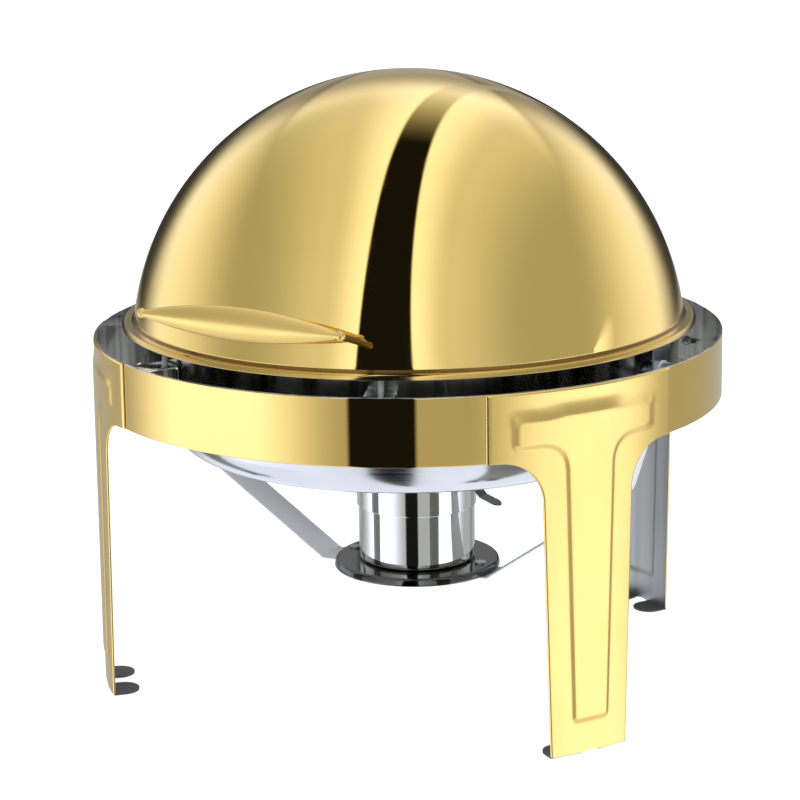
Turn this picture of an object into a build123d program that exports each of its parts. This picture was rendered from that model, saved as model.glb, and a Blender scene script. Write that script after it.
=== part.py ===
from build123d import *
from math import cos, radians, sqrt
import os

# Round roll-top chafing dish, millimetres. +Z is up and z = 0 is the table.
# The z axis runs through the centre of the outer ring, and -Y is the side with the lid's handle.
# Angles of places round the ring are counted from -Y towards +X.

# Outer ring
RING_R = 230.0
RING_SHEET = 1.2
RING_TOP = 258.5
RING_HEIGHT = 47.5
RING_BOTTOM = RING_TOP - RING_HEIGHT

# The legs and the burner strap are turned a little from the lid's symmetry plane
LEG_ANGLES = {
    "leg_front_right": 62.5,
    "leg_front_left": -48.0,
    "leg_rear_right": 157.5,
    "leg_rear_left": -146.5,
}
STRAP_TURN = 5.5

# Pressed legs
LEG_SHEET = 1.5
LEG_GAP = 0.15
LEG_INNER_R = RING_R + LEG_GAP
LEG_OUTER_R = LEG_INNER_R + LEG_SHEET
LEG_ARM_HALF = 75.5
LEG_TOP_HALF = 36.5
LEG_FOOT_HALF = 31.2
LEG_FILLET = 30.0
EMBOSS_HEIGHT = 1.1
EMBOSS_ARM_HALF = 57.0
EMBOSS_ARM_TOP = RING_TOP - 16.0
EMBOSS_ARM_BOTTOM = RING_TOP - 38.0
EMBOSS_STEM_TOP_HALF = 19.5
EMBOSS_STEM_FOOT_HALF = 14.0
EMBOSS_FOOT_Z = 23.5
EMBOSS_CORNER = 5.0
EMBOSS_FILLET = 14.0
FOOT_TAB_WIDTH = 24.0
FOOT_TAB_LENGTH = 20.5
FOOT_ARCH = 2.0
STUD_R = 2.0
STUD_OFFSET = 66.0
STUD_Z = RING_TOP - 31.0
STUD_INNER_R = RING_R - RING_SHEET - 6.0
STUD_CLEARANCE = 0.2
NUT_R = 3.9
NUT_HEIGHT = 3.0
THREAD_GAP = 0.02

# Lid: a spherical cover that rolls about a level axis through its centre
PIVOT_Z = 244.0
DOME_R = 203.5
DOME_SHEET = 1.0
DOME_BASE_Z = 269.5
RIM_OUTER_R = 211.6
RIM_LIP_Z = 265.5
RIM_SHEET = 1.1
EAR_X = 205.0
EAR_SHEET = 1.5
EAR_HALF = 13.0
EAR_TOP_Z = 268.3
EAR_FLAP_X = 201.4

# Handle of the lid
HANDLE_Y = -220.0
HANDLE_Z = 300.5
HANDLE_HALF_LENGTH = 83.5
HANDLE_HALF_HEIGHT = 12.0
HANDLE_HALF_DEPTH = 7.5
HANDLE_END_R = 3.2
POST_X = 79.0
POST_R = 2.6
POST_FOOT_Y = -180.5
POST_FOOT_Z = 286.0

# Inner support ring, its lugs and the lid's pivots
SUPPORT_R = 198.0
SUPPORT_SHEET = 1.2
SUPPORT_TOP = 268.0
SUPPORT_BOTTOM = 220.0
LUG_ANGLE = 25.6
LUG_HALF = 10.5
LUG_TOP = RING_TOP - 1.5
LUG_SHEET = 2.0
LUG_FLAP = 14.0
PAD_R = 2.2
PAD_CENTRE_R = 203.9
PIN_R = 4.0
PIN_HEAD_R = 6.5
PIN_HEAD = 3.0
BUSH_GAP = 0.05
BUSH_BODY_R = 7.0
BUSH_FLANGE_R = 9.5
BUSH_FLANGE = 0.8
SPACER_R = 8.5
SPACER_FOOT_R = 13.0
SPACER_FOOT = 2.0
SIDE_PLAY = 0.3

# Pans
PAN_SHEET = 0.9
WATER_PAN_BOTTOM = 173.5
WATER_PAN_BOTTOM_R = 172.0
WATER_PAN_TOP_R = 191.0
WATER_PAN_RIM_R = 198.6
WATER_PAN_CORNER = 22.0
FOOD_PAN_BOTTOM = 206.0
FOOD_PAN_BOTTOM_R = 172.0
FOOD_PAN_TOP_R = 187.0
FOOD_PAN_RIM_R = 195.0
FOOD_PAN_CORNER = 18.0
PAN_REST_GAP = 0.2

# Burner strap: its half outline from the middle outwards, lower face
STRAP_SHEET = 1.5
STRAP_HALF = 15.0
STRAP_BOTTOM = 75.0
STRAP_FOLD = 67.8
STRAP_KNEE = (172.0, 148.0)
STRAP_TOP = (196.0, 222.0)
STRAP_END_Z = 236.0
STRAP_SCREW_R = 1.9
STRAP_SCREW_OFFSET = 8.5
STRAP_SCREW_Z = 229.0

# Burner tray and burner, set a little along the strap from its middle
BURNER_SHIFT = 4.5
TRAY_R = 62.0
TRAY_SHEET = 1.0
TRAY_TOP = 82.2
TRAY_RIM_Z = STRAP_BOTTOM + STRAP_SHEET + 0.1
RIVET_R = 2.5
RIVET_OFFSET = 52.0
COLLAR_R = 5.0
CUP_R = 43.4
CUP_SHEET = 0.9
CUP_BASE_Z = TRAY_TOP + 0.2
CUP_TOP_Z = 143.8
COVER_R = 44.6
COVER_SHEET = 0.8
COVER_TOP_Z = 145.0
COVER_SKIRT_Z = 124.0
FLAME_R = 24.0

# Damper: a plate on the cover, with a lever bent down past the cover's edge
DAMPER_ANGLE = 90.0
DAMPER_SHEET = 0.8
DAMPER_R = 27.0
DAMPER_EYE_R = 6.5
DAMPER_PIVOT = 34.0
PIVOT_RIVET_R = 2.0
LEVER_HALF = 5.5
LEVER_BEND = 47.5
LEVER_KNEE = (57.0, -9.5)
LEVER_TIP = (72.0, -14.5)


def placed(shape, angle):
    """Turn a shape made on the -Y side to its angle round the ring."""
    return Rot(0, 0, angle) * shape


def outline(corners):
    """A closed face in the local plane from (x, y, corner radius) points."""
    face = make_face(Polyline(*[(x, y) for x, y, _ in corners], close=True))
    for x, y, radius in corners:
        if radius > 0:
            corner = face.vertices().sort_by_distance((x, y, 0))[0]
            face = fillet(corner, radius)
    return face


def turned(corners):
    """A solid of revolution about the z axis from (radius, z, corner radius) points."""
    return revolve(Plane.XZ * outline(corners), Axis.Z)


def tube(outer, inner, low, high):
    """An upright tube."""
    return turned([(inner, low, 0), (outer, low, 0), (outer, high, 0), (inner, high, 0)])


def rod(start, end, radius):
    """A round bar between two points."""
    axis = Vector(*end) - Vector(*start)
    section = Plane(origin=start, z_dir=axis.normalized()) * Circle(radius)
    return extrude(section, axis.length)


def cross_rod(inner, outer, radius, y=0.0, z=PIVOT_Z, sides=0):
    """A bar along +X between two distances from the z axis, round or with flat sides."""
    section = RegularPolygon(radius, sides) if sides else Circle(radius)
    return extrude(Plane(origin=(inner, y, z), z_dir=(1, 0, 0)) * section, outer - inner)


def group(shapes):
    """Several separate solids as one node."""
    return Compound([solid for shape in shapes for solid in shape.solids()])


def frame_ring():
    ring = tube(RING_R, RING_R - RING_SHEET, RING_BOTTOM, RING_TOP)
    for angle in LEG_ANGLES.values():
        ring -= placed(leg_stud_rods(STUD_R + STUD_CLEARANCE, -RING_R), angle)
    return ring


def leg_stud_rods(radius, outer_y):
    """Two rods parallel to a leg's middle plane, at its T's arms, out to a given y."""
    y_in = -sqrt(STUD_INNER_R**2 - STUD_OFFSET**2)
    rods = [
        rod((side * STUD_OFFSET, y_in, STUD_Z), (side * STUD_OFFSET, outer_y, STUD_Z), radius)
        for side in (-1, 1)
    ]
    return group(rods)


def leg_studs():
    """The two studs of one leg, ending at the leg's inner face."""
    return leg_stud_rods(STUD_R, 0.05 - sqrt(LEG_INNER_R**2 - (STUD_OFFSET + STUD_R) ** 2))


def leg_nut_pair():
    """Nuts with washers on one leg's studs, against the ring's inner face."""
    face_y = -sqrt((RING_R - RING_SHEET) ** 2 - (STUD_OFFSET + 4.0) ** 2) + 0.2
    nuts = []
    for side in (-1, 1):
        plane = Plane(origin=(side * STUD_OFFSET, face_y, STUD_Z), z_dir=(0, 1, 0))
        nut = extrude(plane * RegularPolygon(NUT_R, 6), NUT_HEIGHT)
        nut -= extrude(plane * Circle(STUD_R + THREAD_GAP), NUT_HEIGHT)
        nuts.append(nut)
    return group(nuts)


def leg_outline():
    """The flat outline of a leg: a T with a tapering stem, from its foot to its top."""
    shoulder = LEG_TOP_HALF + 1.0
    half = [
        (LEG_FOOT_HALF, 0.0, 0),
        (LEG_TOP_HALF, RING_BOTTOM - LEG_FILLET, 0),
        (shoulder, RING_BOTTOM, LEG_FILLET * 0.9),
        (LEG_ARM_HALF, RING_BOTTOM, 0),
        (LEG_ARM_HALF, RING_TOP - 0.3, 0),
    ]
    mirrored = [(-x, z, r) for x, z, r in reversed(half)]
    return outline(half + mirrored)


def emboss_outline(inset):
    """The flat outline of the raised T on a leg, drawn in by a distance all round."""
    half = [
        (EMBOSS_STEM_FOOT_HALF - inset, EMBOSS_FOOT_Z + inset, EMBOSS_CORNER),
        (EMBOSS_STEM_TOP_HALF - inset, EMBOSS_ARM_BOTTOM + inset, EMBOSS_FILLET),
        (EMBOSS_ARM_HALF - inset, EMBOSS_ARM_BOTTOM + inset, EMBOSS_CORNER),
        (EMBOSS_ARM_HALF - inset, EMBOSS_ARM_TOP - inset, EMBOSS_CORNER),
    ]
    mirrored = [(-x, z, r) for x, z, r in reversed(half)]
    return outline(half + mirrored)


def front_prism(face):
    return extrude(Plane.XZ * face, RING_R + 20.0)


def foot_tab(side):
    """A half-round tab bent inwards at one corner of the leg's foot."""
    centre_x = side * (LEG_FOOT_HALF - FOOT_TAB_WIDTH / 2)
    root_y = -sqrt(LEG_OUTER_R**2 - LEG_FOOT_HALF**2)
    radius = FOOT_TAB_WIDTH / 2
    nose_y = root_y + FOOT_TAB_LENGTH - radius
    disc = Pos(centre_x, nose_y) * Circle(radius)
    back_y = root_y - 4.0
    root = Pos(centre_x, (nose_y + back_y) / 2) * Rectangle(FOOT_TAB_WIDTH, nose_y - back_y)
    plate = extrude(disc + root, LEG_SHEET)
    return plate & extrude(Circle(LEG_OUTER_R), LEG_SHEET)


def leg():
    """A pressed leg: a T-shaped plate on the ring's cylinder, with a raised T and two foot tabs."""
    plate = tube(LEG_OUTER_R, LEG_INNER_R, 0, RING_TOP) & front_prism(leg_outline())
    raised = tube(LEG_OUTER_R + EMBOSS_HEIGHT, LEG_INNER_R, 0, RING_TOP)
    raised &= front_prism(emboss_outline(0.0))
    pocket = tube(LEG_INNER_R + EMBOSS_HEIGHT, LEG_INNER_R - 1.0, 0, RING_TOP)
    pocket &= front_prism(emboss_outline(LEG_SHEET))
    arch_half = LEG_FOOT_HALF - FOOT_TAB_WIDTH
    arch = front_prism(Rectangle(2 * arch_half, 2 * FOOT_ARCH))
    body = plate + raised - pocket - arch
    for side in (-1, 1):
        body += foot_tab(side)
    return body


def support_ring():
    ring = tube(SUPPORT_R, SUPPORT_R - SUPPORT_SHEET, SUPPORT_BOTTOM, SUPPORT_TOP)
    for side in (0, 180):
        ring -= Rot(0, 0, side) * cross_rod(SUPPORT_R - 5, SUPPORT_R + 5, PIN_R + THREAD_GAP)
    for direction in (90, -90):
        for offset in (-STRAP_SCREW_OFFSET, STRAP_SCREW_OFFSET):
            hole = cross_rod(SUPPORT_R - 5, SUPPORT_R + 5, STRAP_SCREW_R + 0.05, offset, STRAP_SCREW_Z)
            ring -= Rot(0, 0, STRAP_TURN + direction - 90) * hole
    return ring


def lug():
    """A level tongue from the support ring to the outer ring, with a flap down at each end."""
    inner = SUPPORT_R + 0.1
    outer = RING_R - RING_SHEET - 0.1
    plate = extrude(Plane.XZ * outline([
        (-LUG_HALF, LUG_TOP - LUG_SHEET, 0),
        (LUG_HALF, LUG_TOP - LUG_SHEET, 0),
        (LUG_HALF, LUG_TOP, 0),
        (-LUG_HALF, LUG_TOP, 0),
    ]), RING_R)
    flap = extrude(Plane.XZ * outline([
        (-LUG_HALF, LUG_TOP - LUG_FLAP, 5.0),
        (LUG_HALF, LUG_TOP - LUG_FLAP, 5.0),
        (LUG_HALF, LUG_TOP, 0),
        (-LUG_HALF, LUG_TOP, 0),
    ]), RING_R)
    body = plate & tube(outer, inner, 0, RING_TOP)
    body += flap & tube(outer, outer - LUG_SHEET, 0, RING_TOP)
    body += flap & tube(inner + LUG_SHEET, inner, 0, RING_TOP)
    return body


def lid_stop_pads():
    """Silicone posts on the two lugs, under the flat of the lid's rim."""
    pads = []
    for side in (-1, 1):
        height = DOME_BASE_Z - 0.05 - RIM_SHEET - SIDE_PLAY - LUG_TOP
        button = Pos(0, -PAD_CENTRE_R, LUG_TOP) * extrude(Circle(PAD_R), height)
        pads.append(placed(button, side * LUG_ANGLE))
    return group(pads)


def pivot_spacers():
    """Tubes on the pivot pin on both sides of the lid's ear, one with a foot on the outer ring."""
    ear_outside = EAR_X + EAR_SHEET + BUSH_FLANGE + SIDE_PLAY
    ear_inside = EAR_X - BUSH_FLANGE - SIDE_PLAY
    ring_face = sqrt((RING_R - RING_SHEET) ** 2 - SPACER_FOOT_R**2) - 0.1
    outer = cross_rod(ear_outside, ring_face, SPACER_R)
    outer += cross_rod(ring_face - SPACER_FOOT, ring_face, SPACER_FOOT_R)
    inner = cross_rod(SUPPORT_R + 0.05, ear_inside, SPACER_R)
    bore = cross_rod(SUPPORT_R - 5, RING_R - RING_SHEET, PIN_R + THREAD_GAP)
    return group([inner - bore, outer - bore])


def pivot_pin():
    """A shoulder pin with a hexagon head inside the support ring."""
    head_face = sqrt((SUPPORT_R - SUPPORT_SHEET) ** 2 - PIN_HEAD_R**2) - 0.1
    head = cross_rod(head_face - PIN_HEAD, head_face, PIN_HEAD_R, sides=6)
    return head + cross_rod(head_face - 0.5, RING_R - RING_SHEET - 0.6, PIN_R)


def strap_side_points():
    """The lower face of one half of the strap, from the middle outwards."""
    end = (STRAP_TOP[0], STRAP_END_Z)
    return [(0.0, STRAP_BOTTOM), (STRAP_FOLD, STRAP_BOTTOM), STRAP_KNEE, STRAP_TOP, end]


def shifted(points, distance):
    """An open chain of points moved sideways by a distance, to the left of its direction."""
    lines = []
    for (x0, y0), (x1, y1) in zip(points, points[1:]):
        length = sqrt((x1 - x0) ** 2 + (y1 - y0) ** 2)
        nx, ny = -(y1 - y0) / length, (x1 - x0) / length
        lines.append(((x0 + nx * distance, y0 + ny * distance), (x1 - x0, y1 - y0)))
    moved = [lines[0][0]]
    for (p, d), (q, e) in zip(lines, lines[1:]):
        cross = d[0] * e[1] - d[1] * e[0]
        t = ((q[0] - p[0]) * e[1] - (q[1] - p[1]) * e[0]) / cross
        moved.append((p[0] + d[0] * t, p[1] + d[1] * t))
    (p, d) = lines[-1]
    moved.append((p[0] + d[0], p[1] + d[1]))
    return moved


def burner_strap():
    lower = strap_side_points()
    upper = shifted(lower, STRAP_SHEET)
    right = [(x, z, 0) for x, z in lower[1:]] + [(x, z, 0) for x, z in reversed(upper[1:])]
    left = [(-x, z, 0) for x, z, _ in reversed(right)]
    strip = extrude(Plane.XZ * outline(right + left), STRAP_HALF, both=True)
    for side in (0, 180):
        for offset in (-STRAP_SCREW_OFFSET, STRAP_SCREW_OFFSET):
            strip -= Rot(0, 0, side) * cross_rod(180, 200, STRAP_SCREW_R + 0.05, offset, STRAP_SCREW_Z)
    for x in rivet_places():
        strip -= Pos(x, 0, STRAP_BOTTOM - 1) * extrude(Circle(RIVET_R + 0.05), 4)
    return Rot(0, 0, STRAP_TURN) * strip


def strap_screws():
    """Button-head screws through the support ring and the strap, with their nuts."""
    screws = []
    for side in (0, 180):
        for offset in (-STRAP_SCREW_OFFSET, STRAP_SCREW_OFFSET):
            face = sqrt(SUPPORT_R**2 - (STRAP_SCREW_OFFSET - 3.5) ** 2) + 0.1
            head = cross_rod(face, face + 1.8, 3.5, offset, STRAP_SCREW_Z)
            shank = cross_rod(190.6, face + 0.2, STRAP_SCREW_R, offset, STRAP_SCREW_Z)
            screws.append(Rot(0, 0, STRAP_TURN + side) * (head + shank))
    return group(screws)


def strap_nuts():
    nuts = []
    for side in (0, 180):
        for offset in (-STRAP_SCREW_OFFSET, STRAP_SCREW_OFFSET):
            face = STRAP_TOP[0] - STRAP_SHEET - 0.05
            nut = cross_rod(face - 2.6, face, 3.6, offset, STRAP_SCREW_Z, sides=6)
            nut -= cross_rod(face - 3, face + 1, STRAP_SCREW_R + 0.02, offset, STRAP_SCREW_Z)
            nuts.append(Rot(0, 0, STRAP_TURN + side) * nut)
    return group(nuts)


def rivet_places():
    """Distances of the tray's rivets along the strap."""
    return [BURNER_SHIFT - RIVET_OFFSET, BURNER_SHIFT + RIVET_OFFSET]


def on_strap(shape):
    """Move a shape made round the z axis to the burner's place on the strap."""
    return Rot(0, 0, STRAP_TURN) * Pos(BURNER_SHIFT, 0, 0) * Rot(0, 0, -STRAP_TURN) * shape


def burner_tray():
    """A flat round tray with its rim turned down to the strap."""
    tray = turned([
        (0, TRAY_TOP - TRAY_SHEET, 0),
        (TRAY_R - 3.0, TRAY_TOP - TRAY_SHEET, 1.5),
        (TRAY_R - TRAY_SHEET, TRAY_RIM_Z, 0),
        (TRAY_R, TRAY_RIM_Z, 0),
        (TRAY_R - 2.2, TRAY_TOP, 2.5),
        (0, TRAY_TOP, 0),
    ])
    tray = on_strap(tray)
    for x in rivet_places():
        hole = Pos(x, 0, TRAY_TOP - 2) * extrude(Circle(RIVET_R + 0.05), 4)
        tray -= Rot(0, 0, STRAP_TURN) * hole
    return tray


def tray_rivets():
    """Rivets through the strap and the tray, with a collar between the two."""
    rivets = []
    strap_top = STRAP_BOTTOM + STRAP_SHEET
    for x in rivet_places():
        shank = Pos(0, 0, STRAP_BOTTOM - 0.5) * extrude(Circle(RIVET_R), TRAY_TOP - STRAP_BOTTOM + 1)
        collar_height = TRAY_TOP - TRAY_SHEET - strap_top - 0.1
        collar = Pos(0, 0, strap_top + 0.05) * extrude(Circle(COLLAR_R), collar_height)
        low = Pos(0, 0, STRAP_BOTTOM - 1.3) * extrude(Circle(RIVET_R * 1.7), 1.25)
        high = Pos(0, 0, TRAY_TOP + 0.05) * extrude(Circle(RIVET_R * 1.7), 1.25)
        rivets.append(Rot(0, 0, STRAP_TURN) * Pos(x, 0, 0) * (shank + collar + low + high))
    return group(rivets)


def lid_dome():
    shell = Sphere(DOME_R) - Sphere(DOME_R - DOME_SHEET)
    above = Pos(0, 0, DOME_BASE_Z - PIVOT_Z + DOME_R) * Box(3 * DOME_R, 3 * DOME_R, 2 * DOME_R)
    return Pos(0, 0, PIVOT_Z) * (shell & above)


def lid_rim():
    """The flange round the lid's edge, with its lip turned down."""
    inner = sqrt((DOME_R - DOME_SHEET) ** 2 - (DOME_BASE_Z - PIVOT_Z) ** 2)
    top = DOME_BASE_Z - 0.05
    return turned([
        (inner, top - RIM_SHEET, 0),
        (inner, top, 0),
        (RIM_OUTER_R - 4.0, top, 3.0),
        (RIM_OUTER_R, RIM_LIP_Z + 0.3, 0.5),
        (RIM_OUTER_R - RIM_SHEET, RIM_LIP_Z, 0.4),
        (RIM_OUTER_R - 4.6, top - RIM_SHEET, 2.0),
    ])


def lid_ear():
    """A bracket under the lid's rim, down to the pivot, on the +X side."""
    outside = EAR_X + EAR_SHEET
    plate_face = outline([
        (-EAR_HALF, EAR_TOP_Z, 0),
        (-EAR_HALF, PIVOT_Z - EAR_HALF, EAR_HALF * 0.95),
        (EAR_HALF, PIVOT_Z - EAR_HALF, EAR_HALF * 0.95),
        (EAR_HALF, EAR_TOP_Z, 0),
    ])
    ear_plane = Plane(origin=(EAR_X, 0, 0), x_dir=(0, 1, 0), z_dir=(1, 0, 0))
    plate = extrude(ear_plane * plate_face, EAR_SHEET)
    flap_length = outside - EAR_FLAP_X
    flap = Pos(EAR_FLAP_X + flap_length / 2, 0, EAR_TOP_Z - 0.5) * Box(flap_length, 2 * EAR_HALF, 1.0)
    return plate + flap - cross_rod(EAR_X - 1, outside + 1, BUSH_BODY_R)


def lid_bush():
    """A nylon bush with two flanges in the ear."""
    outside = EAR_X + EAR_SHEET
    body = cross_rod(EAR_X - BUSH_FLANGE, outside + BUSH_FLANGE, BUSH_BODY_R - 0.02)
    for start in (EAR_X - BUSH_FLANGE, outside):
        body += cross_rod(start, start + BUSH_FLANGE, BUSH_FLANGE_R)
    return body - cross_rod(EAR_X - 3, outside + 3, PIN_R + BUSH_GAP)


def lid_handle():
    """A spindle: an oval bar, tallest in the middle, with small round ends."""
    stations = 9
    sections = []
    for i in range(stations):
        x = -HANDLE_HALF_LENGTH + 2 * HANDLE_HALF_LENGTH * i / (stations - 1)
        swell = cos(radians(90) * x / HANDLE_HALF_LENGTH) ** 0.9 if i not in (0, stations - 1) else 0
        height = HANDLE_END_R + (HANDLE_HALF_HEIGHT - HANDLE_END_R) * swell
        depth = HANDLE_END_R + (HANDLE_HALF_DEPTH - HANDLE_END_R) * swell
        plane = Plane(origin=(x, HANDLE_Y, HANDLE_Z), x_dir=(0, 1, 0), z_dir=(1, 0, 0))
        sections.append(plane * Ellipse(depth, height))
    body = loft(sections)
    for side in (-1, 1):
        slot = rod((side * POST_X, HANDLE_Y, HANDLE_Z), post_foot(side), POST_R + 0.02)
        body -= slot
    return body


def post_foot(side):
    return (side * POST_X, POST_FOOT_Y, POST_FOOT_Z)


def handle_posts():
    """Two thin posts between the handle and the dome."""
    posts = []
    for side in (-1, 1):
        bar = rod((side * POST_X, HANDLE_Y, HANDLE_Z), post_foot(side), POST_R)
        posts.append(bar - Pos(0, 0, PIVOT_Z) * Sphere(DOME_R + 0.05))
    return group(posts)


def pan(bottom, top, radii, corner):
    """A round pan with sloping walls, a rounded bottom corner and a level rim."""
    bottom_r, top_r, rim_r = radii
    slope = (top_r - bottom_r) / (top - bottom)
    body = turned([(0, bottom, 0), (bottom_r, bottom, corner), (top_r, top, 0), (0, top, 0)])
    floor = bottom + PAN_SHEET
    hollow = turned([
        (0, floor, 0),
        (bottom_r - PAN_SHEET + slope * PAN_SHEET, floor, corner - PAN_SHEET),
        (top_r - PAN_SHEET + slope * PAN_SHEET, top + PAN_SHEET, 0),
        (0, top + PAN_SHEET, 0),
    ])
    rim = tube(rim_r, top_r - PAN_SHEET, top - PAN_SHEET, top)
    return body - hollow + rim


def water_pan():
    top = SUPPORT_TOP + PAN_REST_GAP + PAN_SHEET
    radii = (WATER_PAN_BOTTOM_R, WATER_PAN_TOP_R, WATER_PAN_RIM_R)
    return pan(WATER_PAN_BOTTOM, top, radii, WATER_PAN_CORNER)


def food_pan():
    top = SUPPORT_TOP + 2 * PAN_REST_GAP + 2 * PAN_SHEET
    radii = (FOOD_PAN_BOTTOM_R, FOOD_PAN_TOP_R, FOOD_PAN_RIM_R)
    return pan(FOOD_PAN_BOTTOM, top, radii, FOOD_PAN_CORNER)


def burner_cup():
    return turned([
        (0, CUP_BASE_Z, 0),
        (CUP_R, CUP_BASE_Z, 2.5),
        (CUP_R, CUP_TOP_Z, 0),
        (CUP_R - CUP_SHEET, CUP_TOP_Z, 0),
        (CUP_R - CUP_SHEET, CUP_BASE_Z + CUP_SHEET, 1.6),
        (0, CUP_BASE_Z + CUP_SHEET, 0),
    ])


def burner_cover():
    """The cover of the fuel cup: a skirt and a top with the flame opening."""
    top_underside = COVER_TOP_Z - COVER_SHEET
    body = turned([
        (FLAME_R, top_underside, 0),
        (COVER_R - COVER_SHEET, top_underside, 0.8),
        (COVER_R - COVER_SHEET, COVER_SKIRT_Z, 0),
        (COVER_R, COVER_SKIRT_Z, 0),
        (COVER_R, COVER_TOP_Z, 1.6),
        (FLAME_R, COVER_TOP_Z, 0),
    ])
    hole = Pos(0, DAMPER_PIVOT, COVER_TOP_Z - 2) * extrude(Circle(PIVOT_RIVET_R + THREAD_GAP), 4)
    return body - placed(hole, DAMPER_ANGLE)


def damper_rivet():
    """The rivet that the damper swings on, in the cover's top."""
    head_z = COVER_TOP_Z + DAMPER_SHEET + 0.4
    shank_z = COVER_TOP_Z - COVER_SHEET
    shank = Pos(0, 0, shank_z) * extrude(Circle(PIVOT_RIVET_R), head_z + 0.1 - shank_z)
    head = Pos(0, 0, head_z) * extrude(Circle(PIVOT_RIVET_R * 1.8), 1.0)
    return placed(Pos(0, DAMPER_PIVOT, 0) * (shank + head), DAMPER_ANGLE)


def damper_lever():
    """The lever of the damper: a strip from its middle that steps down outside the cover."""
    lower = [(0.0, 0.0), (LEVER_BEND, 0.0), LEVER_KNEE, LEVER_TIP]
    upper = shifted(lower, DAMPER_SHEET)
    side_face = make_face(Polyline(*(lower + upper[::-1]), close=True))
    side_plane = Plane(origin=(0, 0, 0), x_dir=(0, -1, 0), z_dir=(-1, 0, 0))
    bar = extrude(side_plane * side_face, LEVER_HALF, both=True)
    reach, drop = LEVER_TIP
    nose = Pos(0, LEVER_HALF - reach) * Circle(LEVER_HALF)
    nose += Pos(0, LEVER_HALF - reach / 2) * Rectangle(2 * LEVER_HALF, reach)
    return bar & Pos(0, 0, drop - 1) * extrude(nose, 1 - drop + DAMPER_SHEET)


def damper_plate():
    """A swinging plate over the flame opening, with its lever."""
    face = Circle(DAMPER_R) + Pos(0, DAMPER_PIVOT) * Circle(DAMPER_EYE_R)
    face += Pos(0, DAMPER_PIVOT / 2) * Rectangle(2 * DAMPER_EYE_R, DAMPER_PIVOT)
    plate = extrude(face, DAMPER_SHEET) + damper_lever()
    plate -= Pos(0, DAMPER_PIVOT, -1) * extrude(Circle(PIVOT_RIVET_R + BUSH_GAP), 4)
    return placed(Pos(0, 0, COVER_TOP_Z + 0.15) * plate, DAMPER_ANGLE)


def on_left(shape):
    """The same piece on the -X side."""
    return Rot(0, 0, 180) * shape


def parts():
    nodes = {"frame_ring": frame_ring()}
    for name, angle in LEG_ANGLES.items():
        nodes[name] = placed(leg(), angle)
    nodes["leg_studs"] = group([placed(leg_studs(), a) for a in LEG_ANGLES.values()])
    nodes["leg_nuts"] = group([placed(leg_nut_pair(), a) for a in LEG_ANGLES.values()])
    nodes["support_ring"] = support_ring()
    nodes["lug_right"] = placed(lug(), LUG_ANGLE)
    nodes["lug_left"] = placed(lug(), -LUG_ANGLE)
    nodes["lid_stop_pads"] = lid_stop_pads()
    nodes["pivot_spacers_right"] = pivot_spacers()
    nodes["pivot_spacers_left"] = on_left(pivot_spacers())
    nodes["pivot_pin_right"] = pivot_pin()
    nodes["pivot_pin_left"] = on_left(pivot_pin())
    nodes["burner_strap"] = burner_strap()
    nodes["strap_screws"] = strap_screws()
    nodes["strap_nuts"] = strap_nuts()
    nodes["burner_tray"] = burner_tray()
    nodes["tray_rivets"] = tray_rivets()
    nodes["lid_dome"] = lid_dome()
    nodes["lid_rim"] = lid_rim()
    nodes["lid_ear_right"] = lid_ear()
    nodes["lid_ear_left"] = on_left(lid_ear())
    nodes["lid_bush_right"] = lid_bush()
    nodes["lid_bush_left"] = on_left(lid_bush())
    nodes["lid_handle"] = lid_handle()
    nodes["handle_posts"] = handle_posts()
    nodes["water_pan"] = water_pan()
    nodes["food_pan"] = food_pan()
    nodes["burner_cup"] = on_strap(burner_cup())
    nodes["burner_cover"] = on_strap(burner_cover())
    nodes["damper_rivet"] = on_strap(damper_rivet())
    nodes["damper_plate"] = on_strap(damper_plate())
    return nodes


os.makedirs("parts", exist_ok=True)
for name, shape in parts().items():
    export_step(shape, f"parts/{name}.step")
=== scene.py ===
from math import acos, asin, atan2, cos, degrees, hypot, pi, radians, sin, sqrt, tan

import bmesh
import bpy
from mathutils import Matrix, Vector


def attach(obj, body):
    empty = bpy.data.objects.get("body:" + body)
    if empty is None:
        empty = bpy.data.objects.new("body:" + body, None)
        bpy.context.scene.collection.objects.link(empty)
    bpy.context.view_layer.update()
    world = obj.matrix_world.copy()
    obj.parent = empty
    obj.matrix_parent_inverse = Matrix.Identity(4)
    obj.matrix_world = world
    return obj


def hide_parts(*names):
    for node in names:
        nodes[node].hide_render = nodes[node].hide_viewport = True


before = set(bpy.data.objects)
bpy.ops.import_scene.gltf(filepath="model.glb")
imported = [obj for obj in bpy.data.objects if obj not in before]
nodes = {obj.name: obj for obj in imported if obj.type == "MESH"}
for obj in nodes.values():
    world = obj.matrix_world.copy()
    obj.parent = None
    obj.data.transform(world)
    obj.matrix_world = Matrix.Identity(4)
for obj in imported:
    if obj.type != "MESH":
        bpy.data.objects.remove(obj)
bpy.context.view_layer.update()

# Lengths below are in millimetres and become metres in the mesh builders.
MM = 0.001

# Main sizes of the dish
RING_R = 230.0
RING_TOP = 258.5
RING_BOTTOM = 211.0
# Angles round the dish are in degrees from -Y, where the handle is, towards +X
LEG_ANGLES = {
    "leg_front_right": 62.5,
    "leg_front_left": -48.0,
    "leg_rear_right": 157.5,
    "leg_rear_left": -146.5,
}
STRAP_TURN = 5.5
PIVOT_Z = 244.0
DOME_R = 203.5
DOME_BASE_Z = 269.5
SUPPORT_R = 198.0
SUPPORT_TOP = 268.0
SUPPORT_BOTTOM = 220.0
HANDLE_Y = -220.0
HANDLE_Z = 300.5
LEG_FOOT_HALF = 31.2
LEG_FILLET = 30.0
LUG_ANGLE = 25.6
BURNER_SHIFT = 4.5
PAN_SHEET = 0.9
RING_STEPS = 320

# The side of the dish that the camera looks at, and its height above the horizon, in degrees
CAMERA_TURN = 31.0
CAMERA_RISE = 12.0

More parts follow.
